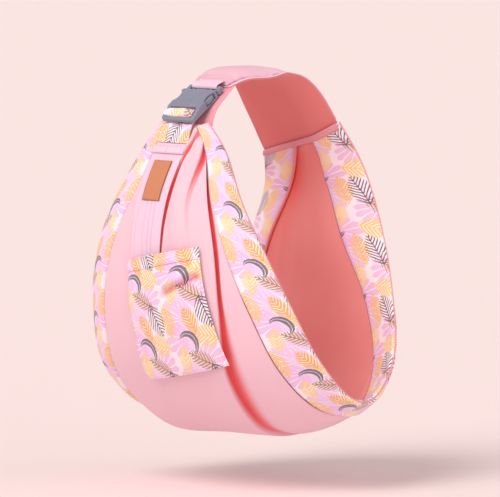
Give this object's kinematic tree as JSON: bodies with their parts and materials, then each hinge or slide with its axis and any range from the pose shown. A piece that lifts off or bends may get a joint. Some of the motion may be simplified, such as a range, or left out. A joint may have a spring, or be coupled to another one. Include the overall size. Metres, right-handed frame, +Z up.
{
  "type": "soft baby carrier",
  "caption": "One-shoulder baby sling: padded strap, side-release buckle and webbing adjuster, and a cup-shaped cotton pouch with printed padded edge bands and a patch pocket.",
  "frame": {"origin": "middle of the flat patch on the shoulder pad's underside, at the crown of the ring, where the sling hangs on the shoulder", "axes": "+Z up, -X towards the buckle at the front, -Y the near edge of strap and pouch (the pocket's wider side)"},
  "size_m": [0.3957, 0.4353, 0.5492],
  "materials": {
    "pink_cotton": "fine pink cotton twill, matt",
    "salmon_lining": "salmon cotton lining, matt",
    "printed_cotton": "white-lavender cotton printed with palm fronds and leaves in yellow, pink, tan and grey",
    "pink_webbing": "pink woven strap cloth with stitch rows",
    "slate_plastic": "slate grey moulded acetal, satin",
    "tan_leather": "tan leather, blank, with an edge stitch",
    "pad_foam": "white open-cell foam core, hidden",
    "edge_wadding": "white polyester wadding, hidden"
  },
  "bodies": {
    "carrier": {"back_seam_tape": "pink_cotton", "buckle_underlay": "pink_cotton", "far_band_back": "printed_cotton", "far_band_front": "printed_cotton", "far_wadding_back": "edge_wadding", "far_wadding_front": "edge_wadding", "leather_label": "tan_leather", "lining_back_panel": "salmon_lining", "lining_base_panel": "salmon_lining", "lining_front_panel": "salmon_lining", "male_buckle": "slate_plastic", "male_webbing": "pink_webbing", "near_band_back": "printed_cotton", "near_band_front": "printed_cotton", "near_wadding_back": "edge_wadding", "near_wadding_front": "edge_wadding", "outer_back_panel": "pink_cotton", "outer_base_panel": "pink_cotton", "outer_front_panel": "pink_cotton", "pad_cover": "pink_cotton", "pad_foam": "pad_foam", "pad_lining": "salmon_lining", "pleated_strip": "pink_cotton", "pocket_hem": "printed_cotton", "pocket_panel": "printed_cotton", "printed_strap": "printed_cotton", "strap_cross_hem": "pink_webbing"},
    "female_half": {"female_buckle": "slate_plastic", "strap_roll": "printed_cotton"},
    "near_arm": {"near_release_arm": "slate_plastic"},
    "far_arm": {"far_release_arm": "slate_plastic"}
  },
  "joints": [
    {"name": "buckle_release", "type": "slide", "parent": "carrier", "child": "female_half", "axis": [-0.809, 0, -0.5878], "range_m": [0, 0.036], "deforming": ["near_release_arm", "far_release_arm", "printed_strap"]},
    {"name": "near_arm_press", "type": "hinge", "parent": "carrier", "child": "near_arm", "pos_m": [-0.10011, -0.019, -0.01566], "axis": [0.5878, 0, -0.809], "range_deg": [0, 12], "stiffness_Nm_per_rad": 0.4},
    {"name": "far_arm_press", "type": "hinge", "parent": "carrier", "child": "far_arm", "pos_m": [-0.10011, 0.015, -0.01566], "axis": [-0.5878, 0, 0.809], "range_deg": [0, 12], "stiffness_Nm_per_rad": 0.4}
  ],
  "couplings": [
    {"joint": "far_arm_press", "follows": "near_arm_press", "ratio": 1}
  ]
}
